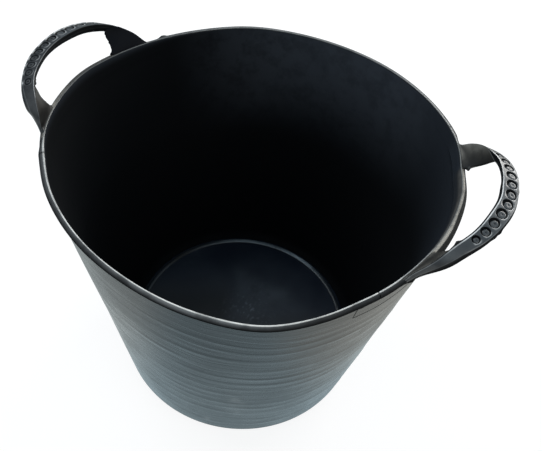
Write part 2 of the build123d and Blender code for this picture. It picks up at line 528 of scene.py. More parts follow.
for row in range(len(sections[0]) - 1):
    for angle in angles:
        finish = outside_finish if row < first_inside else inside_finish
        browned = cos(angle) > 0 and from_handle(angle) < brown_reach
        if browned and first_inside <= row < first_inside + brown_rows:
            finish = brown_finish
        wall.finishes.append(finish)
for path in insert_outline(0) + insert_outline(180):
    wall.sheet(*witness_line(path), line_finish)
tub_wall = wall.build("tub_wall_shell", wall_finishes)
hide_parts("tub_wall")
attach(tub_wall, "tub")


# Floor: a flat disc inside the foot of the wall, with one low ring raised on it and the ring
# underneath that the tub stands on. All are the same black moulding as the wall.
floor_radius = 132.9
under_radius = 140.0
ring_radius = 128.2
ring_half = 3.0
ring_height = 1.2
ring_sunk = 0.1  # the ring starts this far inside the floor
foot_inner = 131.0
foot_edge = 2.7  # rounding of the outer edge at the ground
ring_steps = 10  # of the mesh, over the ring
closed_radius = 0.01  # a radius of 0 is drawn this small, which closes the middle
floor_dark = (0.0003, 0.0040, 0.0135, 1)
floor_dust = (0.020, 0.030, 0.042, 1)
# pale colour of scuffs, and of the painted reflection in the fan on the floor
floor_scuff_and_reflection = (0.200, 0.230, 0.260, 1)
ring_dark = (0.012, 0.015, 0.018, 1)
# painted highlight along the top of the floor ring
ring_highlight = (0.42, 0.50, 0.55, 1)
foot_rubbed = (0.13, 0.13, 0.125, 1)
foot_worn = [0, 0, 0.5, 0.7, 0.8, 0.9, 0.8, 0.6, 0.4, 0.2, 0.1, 0]


def floor_marks(row, x, y, z):
    # A fan of dried dust and painted reflection with scuffs at its middle, and a darker, duller strip beside
    # it. None underneath.
    if z < floor_top:
        return 0.0, 0.0
    aside, back = 0.9 * x + 0.44 * y, 0.9 * y - 0.44 * x
    fan_edge = 66 + (41 - back) * (1.38 if back > 41 else 0.4)
    fan = smooth(aside, -14, 2) * smooth(aside, fan_edge + 14, fan_edge - 24) * smooth(back, 98, 60)
    cloud = 0.8 + 0.5 * uneven(x / 22, y / 22, 3)
    speck = uneven(x / 4.2, y / 6, 8) + 0.8 * uneven(x / 2.2, y / 3.4, 5)
    scuffs = 0.55 * bump(aside, 9, 24) * bump(back, 14, 26) * smooth(speck, 0.1, 1.0)
    dull = max(smooth(aside, 2, -28) * smooth(back, 80, 20), 0.6 * smooth(back, 20, -4))
    return (0.06 + 0.15 * smooth(back, 0, 50)) * fan * cloud + scuffs, 0.9 * dull


def ring_marks(row, x, y, z):
    # Painted highlight: the ring is palest at its top, and unevenly along the back, and darker at the back
    # on the left.
    turn = degrees(atan2(y, x))
    worn = 0.95 * bump(turn, 76, 13.5) + 0.6 * bump(turn, 110, 17)
    return sin(pi * row / ring_steps) ** 2 * worn, 0.95 * bump(turn, 154, 12)


def foot_marks(row, x, y, z):
    return foot_worn[row], 0.0


def lathe(name, section, marks, materials, first_over=0):
    # A piece turned from a section of radius and height. Marks gives wear and painted highlight, and painted
    # shade and grime. From row first_over on it has the last of its materials.
    shape = Shape()
    for row, (r, z) in enumerate(section):
        r = max(r, closed_radius)
        for k in range(around_steps):
            angle = 2 * pi * k / around_steps
            point = (r * cos(angle), r * sin(angle), z)
            shape.point(point, *marks(row, *settle(point)))
    shape.faces = grid_faces(len(section), around_steps, True)
    under = first_over * around_steps
    shape.finishes = [0] * under + [len(materials) - 1] * (len(shape.faces) - under)
    return shape.build(name, materials)


floor_finishes = [
    plastic("floor_under", wall_black, wall_dusty, wall_dusty, rough=0.5, shine=0.5, scuffed=0.6, grain=0.3),
    plastic("floor_inside", floor_dark, floor_dust, floor_scuff_and_reflection,
            rough=0.40, shine=0.5, scuffed=0.85, grain=0.3)]
under = [(0, foot_height)] + [(r, foot_height) for r in np.linspace(6, under_radius, 24)]
over = [(r, floor_top) for r in np.linspace(floor_radius, 4, 66)] + [(0, floor_top)]
floor_panel = lathe("floor_disc", under + over, floor_marks, floor_finishes, len(under) - 1)

ring_plastic = plastic(
    "floor_ring_skin", ring_dark, floor_dust, ring_highlight, rough=0.40, shine=0.5, scuffed=0.3)
ring_section = []
for t in np.linspace(0, pi, ring_steps + 1):
    height = floor_top - ring_sunk + (ring_height + ring_sunk) * sin(t)
    ring_section.append((ring_radius + ring_half * cos(t), height))
floor_ring = lathe("floor_ring_bead", ring_section, ring_marks, [ring_plastic])

foot_plastic = plastic(
    "foot_skin", wall_black, wall_dusty, foot_rubbed,
    rough=0.5, shine=0.5, scuffed=0.9, rings=0.34, grain=0.3)
foot_section = [(foot_inner, foot_height), (foot_inner + 0.2, 0.8), (foot_inner + 0.9, 0.0)]
for t in np.linspace(0, 0.47 * pi, 8):
    foot_section.append((outside(0) - 2.6 + 2.8 * sin(t), foot_edge - foot_edge * cos(t)))
foot_section.append((outside(foot_height), foot_height))
foot_ring = lathe("foot_ring_band", foot_section, foot_marks, [foot_plastic])

for piece, node in ((floor_panel, "floor_panel"), (floor_ring, "floor_ring"), (foot_ring, "foot_ring")):
    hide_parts(node)
    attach(piece, "tub")


# Rim beads: the proud band under the lip between the handles, front and back. It stiffens
# the mouth, is moulded with the wall, and is rubbed grey along its shoulder.
band_step = 0.75  # degrees between the sections of the mesh
band_gap = 0.13  # degrees left free on either side of a nick
bead_shine = 2  # faces of a section, counted from the lip, that shine a little; the rest are darker, painted shade
rim_dark = (0.0055, 0.0062, 0.0070, 1)
rim_dusty = (0.022, 0.023, 0.024, 1)
rim_rubbed = (0.17, 0.17, 0.17, 1)
# the darker, duller finish of the bead's face: painted shade
face_shaded_dark = (0.0034, 0.0036, 0.0040, 1)
face_shaded_dusty = (0.012, 0.012, 0.012, 1)


def bead_section(angle):
    # Out from the inner edge of the lip, up from its top, wear, and painted shade, which darkens the outer
    # face and underside.
    lip = lip_width(angle)
    turn = apart(degrees(angle), 0)
    front = max(0, -sin(angle))
    out = 6.2 - 1.3 * front - 0.9 * cos(angle) - 0.62 * front * (1 - 0.65 * cos(angle))
    wide = out - lip
    fall = 1.7 - 0.5 * max(0, sin(angle))
    deep = 6.6 - 1.6 * front + 0.9 * bump(turn, -41.3, 0.6)
    rubbed = 0.15 + 0.15 * smooth(cos(angle), 0.3, -0.2) + 0.62 * bump(turn, -84, 18)
    shoulder = [
        (lip - 0.6, -2.6, 0, 0), (lip - 0.35, -0.95, 0, 0), (lip + 0.05, -0.62, 2.0 * rubbed, 0),
        (lip + 0.4, -0.6, 1.7 * rubbed, 0), (lip + 0.42 * wide, -0.6 - 0.3 * fall, 1.15 * rubbed, 0),
        (lip + 0.7 * wide, -0.6 - 0.9 * fall, 0.6 * rubbed, 0.2)]
    face = [
        (out - 0.3, -0.8 - 1.3 * fall, 0.2 * rubbed, 0.6), (out - 0.08, -1.3 - 1.5 * fall, 0, 0.8),
        (out, -2.0 - 1.5 * fall, 0, 0.9), (out, 1.2 - deep, 0, 1), (out - 0.15, 0.5 - deep, 0, 1),
        (out - 0.6, 0.08 - deep, 0, 1), (out - 1.3, -deep, 0, 1), (1.6, -deep - 0.3, 0, 1)]
    return shoulder + face


def bead_shining(angle):
    return bead_shine


def band(name, first, last, section_at, shining_at, materials):
    # A length of rim between two nicks, closed at both ends. Each section starts with the number
    # of shining faces that shining_at gives, and the rest of its face is dull and darker, painted shade.
    first, last = first + band_gap, last - band_gap
    steps = int((last - first) / band_step)
    angles = np.linspace(radians(first), radians(last), steps + 1)
    shape = Shape()
    for angle in angles:
        top = rim_top(angle)
        for out, rise, worn, darkened in section_at(angle):
            r = inside(top) + out
            shape.point((r * cos(angle), r * sin(angle), top + rise), worn, darkened)
    count = len(shape.points) // len(angles)
    shape.faces = grid_faces(len(angles), count, True)
    for angle in angles[:-1]:
        dull = range(shining_at(angle), count - 1)
        shape.finishes += [1 if k in dull else 0 for k in range(count)]
    shape.faces += [tuple(range(count)), tuple(reversed(range(steps * count, len(shape.points))))]
    shape.finishes += [1, 1]
    return shape.build(name, materials)


right_front, right_back, left_back, left_front = rim_ends
rim_plastic = plastic("rim_skin", rim_dark, rim_dusty, rim_rubbed, rough=0.40, shine=0.4, scuffed=0.25)
rim_shaded = plastic("rim_face_shaded", face_shaded_dark, face_shaded_dusty, rim_rubbed, rough=0.5, shine=0.14, scuffed=0.2)
bead_finishes = [rim_plastic, rim_shaded]
beads = {"front": (left_front - 360, right_front), "back": (right_back, left_back)}
for name, (first, last) in beads.items():
    node = "rim_bead_" + name
    piece = band(node + "_band", first, last, bead_section, bead_shining, bead_finishes)
    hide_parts(node)
    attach(piece, "tub")


# Handle rims: the thicker, deeper rim under each handle, flat on top, which takes the pull of
# the strap. Moulded with the wall, rubbed to a dull beige where hands and other tubs pass.
flat_shine = 5  # shining faces of a section under the strap
outer_row = 4  # first row of a section that is outside the lip
lump_height = 2.6  # a lump of plastic left where the left rim ends
lump_place = 147.2  # degrees round the rim
handle_rim_dark = (0.0070, 0.0066, 0.0062, 1)
handle_rim_dusty = (0.024, 0.022, 0.020, 1)


def handle_rim_section(angle):
    # Flat and thick under the strap. Beside it the section is that of the bead, tucked in where
    # the root covers it.
    near = from_handle(angle)
    right = cos(angle) > 0
    full = smooth(near, 28, 20)
    tuck = 0 if right and angle < 0 else 1.3 * smooth(near, 33, 29.5)
    narrow = 0.9 * smooth(degrees(angle), -7, 0) if right else 0
    lump = lump_height * bump(degrees(angle), lump_place, 1.2)
    pale = 0.2 + 0.8 * smooth(near, 19, 15)
    if not right:
        pale *= 0.12 + 0.7 * smooth(-sin(angle), 0.05, 0.3)
    thick = [  # out, up and wear, for the same rows as the bead
        (0.9, -2.0, 0), (0.75, -0.1, 0.4 * pale), (1.0, 0.12, 0.7 * pale),
        (2.2 - 0.5 * narrow, 0.2, pale), (3.4 - narrow, 0.1, 0.95 * pale),
        (3.9 - narrow, -0.05, (0.6 - 0.5 * narrow) * pale), (4.25, -0.9, 0.05), (4.7, -2.8, 0),
        (5.9, -5.8, 0), (7.1, -8.3, 0), (7.3, -9.3, 0), (6.9, -10.0, 0), (6.0, -10.3, 0), (2.0, -10.6, 0)]
    section = []
    for row, (bead, flat) in enumerate(zip(bead_section(angle), thick)):
        out, rise, worn, darkened = (b + (f - b) * full for b, f in zip(bead, (*flat, 0)))
        if row >= outer_row:
            out -= tuck * (1 - full)
        if outer_row <= row < outer_row + 5:
            rise += lump
        section.append((out, rise, worn, darkened))
    return section


def handle_rim_shining(angle):
    # The flat under the strap shines a little. Beside it only the lip does, as on the beads, and the rest is
    # darker, painted shade.
    return flat_shine if from_handle(angle) < 27 else bead_shine


handle_rim_plastic = plastic(
    "handle_rim_skin", handle_rim_dark, handle_rim_dusty, rubbed_beige, rough=0.42, shine=0.4, scuffed=0.5)
handle_rim_finishes = [handle_rim_plastic, rim_shaded]
handle_rims = {"right": (right_front, right_back), "left": (left_back, left_front)}
for name, (first, last) in handle_rims.items():
    node = name + "_handle_rim"
    piece = band(node + "_band", first, last, handle_rim_section, handle_rim_shining, handle_rim_finishes)
    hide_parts(node)
    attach(piece, "tub")


# Handles: a flat strap that stands up and out from the rim, with eleven round recesses and a
# boss in each for grip, and a web at either end that ties it to the rim. All one moulding with
# the tub. Their edges carry mould flash.
Stance = namedtuple("Stance", "lean turn out along up root_turn squeeze")
Web = namedtuple("Web", "opening first ragged rubbed_open rubbed_root tongue tongue_at")
strap_thickness = 6.5
strap_bevel = (0.9, 2.2)  # bevel along the outer edge, at the middle and at the roots
pit_count = 11
pit_pitch = 11.4
pit_depth = 2.0
pit_radius = (5.4, 4.0)  # of a recess in the middle of the row, and at its ends
boss_radius = (3.8, 2.65)
row_shift = (1.5, 0.4)  # of the row outwards, in its middle and at its ends
half_count = pit_count // 2
row_end = pit_count / 2 * pit_pitch
inner_edge = [  # of the held face, from its middle to the end of the root: out, along, above the rim
    (218.0, 0.0, 39.2), (214.4, 22.8, 39.4), (207.0, 45.6, 37.0), (194.2, 64.6, 30.4),
    (181.3, 79.8, 16.9), (170.9, 91.0, 2.4), (163.2, 106.0, 0.0)]
held_width = [16.3, 15.8, 13.8, 11.9, 9.2, 6.2, 3.8]  # across the held face, the same places
held_slope = [18.3, 14.9, 19.7, 30.2, 48.1, 67.7, 83.6]  # degrees, falling outwards
strap_reach = 1.2  # share of the way to the root that the last of these places has
stances = {  # how each handle stands: the lean, turn and shift of its strap, and its roots
    1: Stance(4.6, -0.1, 2.7, 0.9, 1.2, 0.0, 1.0), -1: Stance(-2.4, 0.4, 0.1, -1.5, -1.5, -1.35, 0.91)}
lean_about = (180, 321)  # the strap leans about this place, out and up
stand_heights = (322, 342)  # between these heights the root goes over into the strap
webs = {  # each web: where it ends at the rim, in degrees, and on the strap, how ragged and how rubbed and lit with painted light it is at the opening and at the root, and the tongue of flash on its edge
    # how rubbed it is at the opening and at the root, and the tongue of flash on its edge
    (1, -1): Web(16.8, 0.57, 0.3, 0.35, 0.3, 2.4, 0.08), (1, 1): Web(17.3, 0.43, 0.5, 0.03, 0.75, 4.6, 0.15),
    (-1, -1): Web(17.7, 0.45, 0.35, 0.22, 0.04, 1.6, 0.08), (-1, 1): Web(13.4, 0.56, 1.5, 0, 0, 3.2, 0.08)}
web_thickness = 4.0
web_closing = 30.0  # where the webs close against the root: degrees at the rim, share of the strap
web_last = 1.07
web_columns = 26
web_rows = 30
row_places = {  # ends of the row and middles of its recesses, along the strap
    1: (-61.6, -56, -45, -33, -20, -6.5, 6, 18, 29.5, 40, 49.5, 59, 64.3),
    -1: (-62.7, -57.1, -46, -34.8, -23.5, -12.2, -0.8, 10.6, 22.1, 33.6, 45.2, 56.9, 62.7)}
row_margin = (90, 130)  # beyond the first of these the strap isn't stretched
inner_nubs = {1: [(-0.56, 1.7)], -1: [(-0.47, 1.9), (-0.43, 1.2)]}  # flash left on the edges: where, size
outer_nubs = {1: [(0.06, 0.5), (-0.29, 1.0), (-0.34, 0.7), (-0.97, 2.2)], -1: [(-0.2, 0.5)]}
inner_hem = {1: 1.6, -1: 0.55}  # width of the rounded edges beside the held face
outer_hem = 0.55
light_way = {1: (0.62, -0.55, -0.55), -1: (-0.93, 0.08, -0.36)}  # the way the light comes: edges of the recesses facing it get a painted highlight, the rest painted shade
boss_lean = {1: 0.75, -1: 0.3}  # how far the bosses lean that way
dull_shaded_to = 15  # the left strap's held face is a darker, duller copy, painted shade, from the front root to here
face_steps = 10  # of the mesh, across the held face, along a recess and along a plain end
cell_steps = 8
plain_steps = 50
dull_to = {1: 20, -1: 18}  # where the dull sides end, in faces from the outer edge; they are darker, painted shade
held_finish, edge_shade_finish, web_finish, shaded_finish, dull_shaded_finish = range(5)
held_dark = (0.0036, 0.0052, 0.0070, 1)
held_dusty = (0.024, 0.029, 0.034, 1)
# pale colour of rubs, and of the painted highlights and glints at the recesses
held_rubbed_and_highlight = (0.85, 0.84, 0.82, 1)
# the darker, duller copy of the held face on the left strap: painted shade
dull_shaded_dusty = (0.020, 0.024, 0.029, 1)
# the darker, duller edge finish: painted shade
edge_shaded_dark = (0.0030, 0.0034, 0.0042, 1)
edge_rubbed = (0.30, 0.29, 0.27, 1)
web_dark = (0.0060, 0.0058, 0.0056, 1)
web_dusty = (0.018, 0.017, 0.016, 1)
web_rubbed = (0.35, 0.325, 0.285, 1)
shaded_dark = (0.0012, 0.0016, 0.0032, 1)
shaded_dusty = (0.004, 0.0046, 0.0062, 1)
shaded_rubbed = (0.150, 0.140, 0.125, 1)


def between(first, last, share):
    return first + (last - first) * share


def through(stations, shares, flip=1):
    # A smooth curve through evenly spaced stations. Flip mirrors them to the other side.
    stations = np.array(stations, float)
    stations = np.concatenate([stations[:0:-1] * flip, stations])
    rate = np.gradient(stations, axis=0)
    place = (shares / strap_reach + 1) * (len(stations) // 2)
    k = np.clip(place.astype(int), 0, len(stations) - 2)
    t = (place - k).reshape(-1, *[1] * (stations.ndim - 1))
    start = (2 * t ** 3 - 3 * t ** 2 + 1) * stations[k] + (t ** 3 - 2 * t ** 2 + t) * rate[k]
    return start + (3 * t ** 2 - 2 * t ** 3) * stations[k + 1] + (t ** 3 - t ** 2) * rate[k + 1]


def unit(vectors):
    return vectors / np.linalg.norm(vectors, axis=1)[:, None]


shares = np.linspace(-strap_reach, strap_reach, 961)
edge_in = through(inner_edge, shares, np.array((1, -1, 1))) + (0, 0, tub_height)
along = unit(np.gradient(edge_in, axis=0))
level = unit(np.stack([along[:, 1], -along[:, 0], 0 * along[:, 0]], 1))
upward = np.cross(along, level)
upward *= np.sign(upward[:, 2:])
slope = np.radians(through(held_slope, shares))[:, None]
across = level * np.cos(slope) - upward * np.sin(slope)
face_up = level * np.sin(slope) + upward * np.cos(slope)
full_widths = through(held_width, shares)
bevels = np.minimum(np.interp(abs(shares), (0.3, 0.6), strap_bevel), 0.3 * full_widths)
widths = full_widths - bevels
spine = edge_in + across * widths[:, None] / 2
lengths = np.concatenate([[0], np.cumsum(np.linalg.norm(np.diff(spine, axis=0), axis=1))])
lengths -= lengths[len(lengths) // 2]
end = lengths[-1] - 0.3
plain_end = np.linspace(row_end, end, plain_steps + 1)
cells = np.linspace(-row_end, row_end, pit_count * cell_steps + 1)
columns = [float(s) for s in np.concatenate([-plain_end[:0:-1], cells, plain_end[1:]])]


def at(table, s):
    return float(np.interp(s, lengths, table))


def track(table, s):
    return np.array([at(table[:, axis], s) for axis in range(3)])


def on_strap(s, q, lift):
    # A point at s along the strap, q across it from its middle, and lift out of the held face.
    crown = -0.3 * min((2 * q / at(widths, s)) ** 2, 1)
    return track(spine, s) + track(across, s) * q + track(face_up, s) * (lift + crown)


def stand(point, side):
    # Puts a point of the handle in place: the roots follow the rim, the strap has its own lean.
    x, y, z = point
    stance = stances[side]
    c, s = cos(radians(stance.lean)), sin(radians(stance.lean))
    px, pz = x - lean_about[0], z - lean_about[1]
    out = side * (lean_about[0] + px * c - pz * s + stance.out)
    aside = y + stance.along
    up = lean_about[1] + px * s + pz * c + stance.up
    c, s = cos(radians(stance.turn)), sin(radians(stance.turn))
    high = Vector((out * c - aside * s, out * s + aside * c, up))
    angle = atan2(y, x) * stance.squeeze
    angle = radians(stance.root_turn) + (angle if side > 0 else pi - angle)
    low = settle((hypot(x, y) * cos(angle), hypot(x, y) * sin(angle), z))
    return low.lerp(high, smooth(z, *stand_heights))


class Strap(Shape):
    # One strap with its webs.
    def __init__(self, side):
        super().__init__()
        self.side = side

    def place(self, point):
        return stand(point, self.side)

    def lay(self, s, q, lift, worn, darkened=0.0):
        # Adds a point of an even strap, moved to where this strap has it, and tells its number.
        if self.side < 0:
            lift += 0.09 * span(s, -30, 15, 55, 78) * (q + at(widths, s) / 2)
            s += 4 * bump(s, -52, 30)
        else:
            q += span(s, 5, 22, 45, 62)
        near, far = row_margin
        middles = [(k - half_count) * pit_pitch for k in range(pit_count)]
        even = [-far, -near, -row_end, *middles, row_end, near, far]
        s = np.interp(s, even, [-far, -near, *row_places[self.side], near, far])
        self.point(on_strap(s, q, lift), worn, darkened)
        return len(self.points) - 1

    def face(self, corners, finish=None):
        # Adds a face. With no finish given, it belongs to the held face.
        if finish is None:
            middle = sum(self.points[k][1] for k in corners) / len(corners)
            finish = dull_shaded_finish if self.side < 0 and middle <= dull_shaded_to else held_finish
        self.faces.append(tuple(corners))
        self.finishes.append(finish)


def across_at(side, s, row):
    # Place across the held face of this row of the mesh.
    width = at(widths, s)
    return inner_hem[side] - width / 2 + (width - inner_hem[side] - outer_hem) * row / face_steps


def face_rub(side, s):
    # How rubbed the flat of the held face is.
    if side < 0:
        return 0.03 + 0.05 * smooth(s, -row_end, -row_end - 16)
    return 0.03 + 0.045 * smooth(s, -66, -82) + 0.06 * span(s, -50, -24, -8, 6)


def held_face(strap):
    # The flat of the held face. The inside of each cell is left open for its recess.
    grid = {}
    for column, s in enumerate(columns):
        cell = (column - plain_steps) / cell_steps
        inner = 0 < cell < pit_count and cell != int(cell)
        for row in range(face_steps + 1):
            if not inner or row in (0, face_steps):
                grid[column, row] = strap.lay(s, across_at(strap.side, s, row), 0, face_rub(strap.side, s))
    last = len(columns) - 1
    for column in [*range(plain_steps), *range(last - plain_steps, last)]:
        for row in range(face_steps):
            corners = [(column, row), (column + 1, row), (column + 1, row + 1), (column, row + 1)]
            strap.face([grid[corner] for corner in corners])
    return grid


def border(columns, rows):
    # Once round the edge of a grid.
    way = [(column, 0) for column in range(columns)] + [(columns, row) for row in range(rows)]
    way += [(column, rows) for column in range(columns, 0, -1)]
    return way + [(0, row) for row in range(rows, 0, -1)]


def recess_rings(side, pit, boss):
    # From the flat down the side of a recess, then up and over its boss: radius, lift, wear and painted
    # highlight, and painted shade, darkest in the groove.
    # On the left strap the flat round a recess carries painted glints on its outer side.
    flat_wear, edge_wear = (0.0, 0.35) if side > 0 else (0.7, 1.0)
    down = [
        (pit + 0.14, 0, flat_wear, 0), (pit + 0.14, 0, edge_wear, 0), (pit, -0.1, 1.0, 0),
        (pit - 0.12, -0.36, 1.0, 0.2), (pit - 0.26, -0.95, 0.3, 1), (pit - 0.4, 0.35 - pit_depth, 0, 1)]
    groove = [
        (pit - 0.6, -pit_depth, 0, 1), (boss + 0.4, -pit_depth, 0, 1), (boss + 0.15, 0.3 - pit_depth, 0, 1)]
    over = [
        (boss, -1.1, 0, 0.6), (boss - 0.4, -0.65, 0.05, 0), (0.68 * boss, -0.4, 0.05, 0),
        (0.42 * boss, -0.36, 0.05, 0), (0.28 * boss, -0.5, 0, 0.3), (0.12 * boss, -0.54, 0, 0.3)]
    return down + groove + over


def edge_highlight_share(side, cell, number, turn, facing):
    # Share of the rub and painted highlight on a recess's edge that is there, by the way that the edge faces
    # the light. On the left strap the outer side carries painted glints.
    rubbed = smooth(facing, 0.2, 0.85)
    if side < 0:
        outer = smooth(sin(turn), 0.75 - 0.4 * smooth(cell, 5, 8), 1)
        rubbed = max(0.6 * rubbed if number else 0, outer) * smooth(cell, -2, 5)
    return 0.04 + 0.96 * rubbed


def recess(strap, grid, cell):
    # One recess with its boss. The first ring of points lies halfway between the cell's edge and it.
    side = strap.side
    middle = (cell - half_count) * pit_pitch
    share = abs(cell - half_count) / half_count
    pit = between(*pit_radius, share ** 3)
    boss = between(*boss_radius, share ** 3)
    shift = between(*row_shift, share ** 2)
    if side > 0:
        shift -= 0.9 * span(cell, -1.5, 1.5, 3, 5.5)
    depth = 1.0 if side > 0 else 0.3 + 0.7 * smooth(cell, 1, 6)
    ahead, aside = track(along, middle), track(across, middle)
    lean = np.array((ahead @ light_way[side], aside @ light_way[side]))
    lean *= boss_lean[side] / np.linalg.norm(lean)
    edge = [(plain_steps + cell * cell_steps + k, row) for k, row in border(cell_steps, face_steps)]
    before = [grid[corner] for corner in edge]
    following = [(k + 1) % len(edge) for k in range(len(edge))]
    for number, (radius, lift, worn, darkened) in enumerate(recess_rings(side, pit, boss)):
        off = lean * smooth(radius, boss + 0.5, boss + 0.1)
        now = []
        for column, row in edge:
            s = columns[column] - middle
            q = across_at(side, columns[column], row) - shift
            turn = atan2(q, s)
            place = (radius * cos(turn) + off[0], radius * sin(turn) + off[1])
            if number == 0:
                place = ((s + place[0]) / 2, (q + place[1]) / 2)
            rubbed, recess_shade, sunk = worn, darkened, depth
            # Painted light: an edge facing the light way gets its painted highlight and loses most of its
            # painted shade.
            if radius > boss:
                facing = (ahead * cos(turn) + aside * sin(turn)) @ light_way[side]
                rubbed *= edge_highlight_share(side, cell, number, turn, facing)
                recess_shade *= 1 - 0.85 * smooth(facing, 0, 0.7)
                if side < 0:
                    recess_shade *= 0.35 * depth
                elif number < 2:
                    rubbed = max(rubbed, face_rub(side, middle))
                elif lift < -0.3:
                    sunk = 1 - 0.65 * smooth(facing, 0.05, 0.75)
            now.append(strap.lay(middle + place[0], shift + place[1], lift * sunk, rubbed, recess_shade))
        # The groove gets the darker edge finish, painted shade.
        grooved = 3 < number < 9 and depth > 0.7
        for k, n in enumerate(following):
            strap.face((before[k], before[n], now[n], now[k]), edge_shade_finish if grooved else None)
        before = now
    centre = strap.lay(middle, shift, -0.55, 0)
    for k, n in enumerate(following):
        strap.face((before[k], before[n], centre))


def nub(share, nubs):
    return sum(size * bump(share, place, 0.02) for place, size in nubs)


def edge_rows(side, share, half):
    # The inner edge of the held face, rubbed pale, with a painted highlight along it.
    worn = max(smooth(share, -0.72, -0.56), (0.25 if side > 0 else 0.5) * smooth(share, -1.1, -0.95))
    worn *= (1 - 0.3 * smooth(share, 0, 0.3)) * (1 - 0.7 * smooth(share, 0.55, 0.85))
    if side > 0:
        return [(0.04 - half, -0.34, 0, 0), (0.5 - half, -0.06, 0, 0),
                (0.65 - half, -0.04, worn, 0), (1.35 - half, -0.01, worn, 0)]
    worn *= 0.12 + 0.38 * smooth(share, -0.25, -0.42)
    return [(0.04 - half, -0.34, 0.9 * worn, 0), (0.34 - half, -0.05, worn, 0)]


def hem_rows(side, s):
    # Round the strap from the outer edge of its held face, underneath, and up to the inner edge:
    # place across, lift, wear and painted highlight, and painted shade on the sides and underneath.
    share = at(shares, s)
    half = at(widths, s) / 2
    bevel = at(bevels, s)
    thick = strap_thickness - 4.3 * smooth(abs(share), 0.75, 1.1)
    web_from = webs[side, 1 if share > 0 else -1].first
    slant = 0.4 + 0.9 * smooth(abs(share), web_from, web_from + 0.2)
    flash_in = 0.3 + nub(share, inner_nubs[side])
    glint, far, shade = 0.0, 0.0, 0.6
    if side > 0:
        bevel += 2.3 * bump(share, -0.74, 0.13)
        slant -= 0.3 * smooth(share, 0.3, -0.1)
        flash_in += 0.5 * smooth(share, 0.1, -0.2)
    else:
        thick += 2.2 * span(share, -0.1, 0.25, 0.45, 0.7)
        bevel += 2.1 * bump(share, -0.66, 0.18)
        # Painted highlights: on the left strap, glints on the outer edge beside each recess, wider at the
        # far end.
        far = smooth(s, 5, 30)
        glint = smooth(cos(2 * pi * s / pit_pitch), 0.5 - 0.9 * far, 1)
        glint *= smooth(abs(s), row_end + 2, row_end - 4)
        shade -= 0.5 * smooth(share, -0.45, -0.55)

    def into(part):
        # Place across on the slanting inner side, at this part of the thickness.
        return min(slant * part * thick - half, 0.4 * half)

    deep = thick / strap_thickness
    out = half + bevel
    flash_out = out + nub(share, outer_nubs[side])
    low = into(1)
    wide = half + 0.3 * bevel - low
    outer = [
        (half - 0.2, -0.02, max(0.15, glint), 0), (half + 0.2, -0.12, max(0.1, glint), 0.2),
        (half + 0.6 * bevel, -0.5, (0.3 + 0.6 * far) * glint, shade), (out, -1.1, 0.5 * far * glint, shade),
        (flash_out + 0.5 * deep, -2.0 * deep, 0, 0.6), (flash_out + 0.8 * deep, -3.0 * deep, 0, 0.6),
        (out + 0.6 * deep, -0.65 * thick, 0, 0.6), (out, -0.85 * thick, 0, 0.5)]
    under = [
        (low + wide, -0.97 * thick, 0, 0.5), (low + 0.85 * wide, -thick, 0, 0.5),
        (low + 0.5 * wide, -thick, 0, 0.5), (low + 0.2 * wide, -thick, 0, 0.5)]
    inner = [
        (into(0.95), -0.96 * thick, 0, 0.5), (into(0.8), -0.8 * thick, 0, 0.5),
        (into(0.58), -0.58 * thick, 0, 0.4), (into(0.52) - flash_in, -0.52 * thick, 0.06, 0),
        (into(0.46), -0.46 * thick, 0, 0.3), (into(0.13), -0.13 * thick, 0.02, 0.2)]
    return outer + under + inner + edge_rows(side, share, half)


def strap_sides(strap, grid):
    # The sides and the underside, column by column, and the two ends. Most of the sides, the underside and
    # the ends have the darker edge finish, painted shade.
    hems = []
    for column, s in enumerate(columns):
        rows = [strap.lay(s, *row) for row in hem_rows(strap.side, s)]
        hems.append([grid[column, face_steps], *rows, grid[column, 0]])
    for s, one, two in zip(columns, hems, hems[1:]):
        dull_from = 2 if strap.side > 0 and at(shares, s) < -0.08 else 4
        for k in range(len(one) - 1):
            finish = edge_shade_finish if dull_from <= k < dull_to[strap.side] else held_finish
            strap.face((one[k], two[k], two[k + 1], one[k + 1]), finish)
    for column in (0, len(columns) - 1):
        strap.face(hems[column] + [grid[column, row] for row in range(1, face_steps)], edge_shade_finish)


def web_sheet(way, web):
    # The upper side of a web from the lip to the strap, with its wear and painted light.
    sheet = np.zeros((web_columns + 1, web_rows + 1, 3))
    wear = []
    for column in range(web_columns + 1):
        a = column / web_columns
        near = abs(shares - way * between(web.first, web_last, a)).argmin()
        drop = 0.06 + 5.2 * (1 - smooth(a, 0, 0.26))
        strap = edge_in[near] - face_up[near] * drop + across[near] * (0.4 * drop - 0.3)
        angle = radians(way * between(web.opening, web_closing, a))
        top = rim_top(angle)
        r = inside(top) + 1.25
        rim = np.array([r * cos(angle), r * sin(angle), top + 0.25 - 0.8 * smooth(a, 0.8, 1)])
        rubbed = between(web.rubbed_open, web.rubbed_root, smooth(a, 0, 0.5))
        for row in range(web_rows + 1):
            b = row / web_rows
            sheet[column, row] = between(rim, strap, b)
            lift = max(smooth(b, 0.25, 0.95), min(0.8, 4 * web.rubbed_root) * smooth(b, 0.3, 0.05))
            wear.append(rubbed * (0.25 + 0.75 * lift) * smooth(b, -0.05, 0.05))
    return sheet, wear


